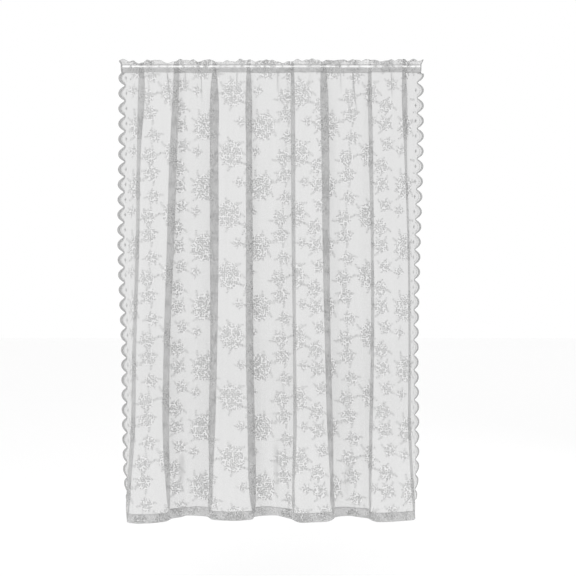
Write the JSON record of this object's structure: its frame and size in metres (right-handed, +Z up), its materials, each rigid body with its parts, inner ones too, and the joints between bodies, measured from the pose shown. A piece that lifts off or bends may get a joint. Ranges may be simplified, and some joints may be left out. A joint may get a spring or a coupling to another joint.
{
  "type": "lace curtain on a rod",
  "caption": "Sheer lace curtain panel with scalloped sides, ruffled header and turned hem, gathered in soft folds on a slim rod.",
  "frame": {"origin": "middle of the rod's axis, inside the curtain's pocket", "axes": "+X along the rod to the right as seen from the room, +Y away from the room towards the window, +Z up"},
  "size_m": [1.0631, 0.1059, 1.584],
  "materials": {
    "lace": "sheer white polyester lace with a fine net ground, denser flower sprays and an overlocked scalloped edge",
    "rod_enamel": "smooth white enamel"
  },
  "bodies": {
    "root": {"lace_panel": "lace", "curtain_rod": "rod_enamel"}
  },
  "joints": []
}
